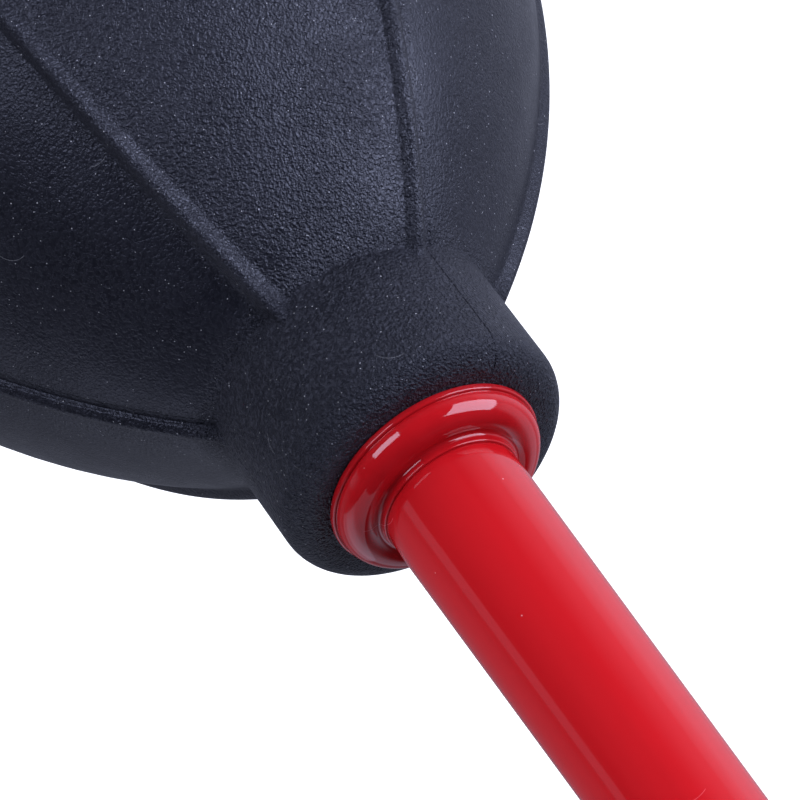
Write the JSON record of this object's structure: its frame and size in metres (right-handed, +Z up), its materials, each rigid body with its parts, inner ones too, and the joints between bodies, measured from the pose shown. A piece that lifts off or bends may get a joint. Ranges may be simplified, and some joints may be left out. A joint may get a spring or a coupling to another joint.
{
  "type": "dust blower bulb",
  "caption": "Ribbed black rubber air blower that stands on fins, with a red push-in nozzle, a filtered inlet valve and an outlet check valve, for blowing dust off watch parts.",
  "frame": {"origin": "centre of the three feet, on the surface that the blower stands on", "axes": "+Z up the bulb's axis to the nozzle's tip; one fin points to -X"},
  "size_m": [0.063, 0.0618, 0.184],
  "materials": {
    "black_rubber": "matte, fine leather-like moulded grain",
    "red_plastic": "glossy injection moulding",
    "seal_rubber": "smooth",
    "white_plastic": "satin",
    "clear_silicone": "smooth, milky",
    "filter_foam": "open-cell foam"
  },
  "bodies": {
    "base": {"bulb": "black_rubber", "inlet_valve_body": "red_plastic", "inlet_valve_cage": "white_plastic", "inlet_filter": "filter_foam", "filter_cover": "red_plastic"},
    "neck": {"nozzle_flange": "red_plastic", "outlet_valve_seat": "white_plastic"},
    "outlet_disc": {"outlet_valve_disc": "clear_silicone"},
    "tube_seal": {"nozzle_seal_ring": "seal_rubber"},
    "nozzle": {"nozzle_tube": "red_plastic"},
    "inlet_disc": {"inlet_valve_disc": "clear_silicone"}
  },
  "joints": [
    {"name": "bulb_squeeze", "type": "slide", "parent": "base", "child": "neck", "axis": [0, 0, -1], "range_m": [0, 0.014], "stiffness_N_per_m": 1500, "deforming": ["bulb"]},
    {"name": "nozzle_pull", "type": "slide", "parent": "neck", "child": "tube_seal", "axis": [0, 0, 1], "range_m": [0, 0.012]},
    {"name": "nozzle_turn", "type": "hinge", "parent": "tube_seal", "child": "nozzle", "pos_m": [0, 0, 0.112], "axis": [0, 0, 1], "continuous": true},
    {"name": "outlet_disc_lift", "type": "slide", "parent": "neck", "child": "outlet_disc", "axis": [0, 0, 1], "range_m": [0, 0.0012]},
    {"name": "inlet_disc_lift", "type": "slide", "parent": "base", "child": "inlet_disc", "axis": [0, 0, 1], "range_m": [0, 0.0012]}
  ]
}
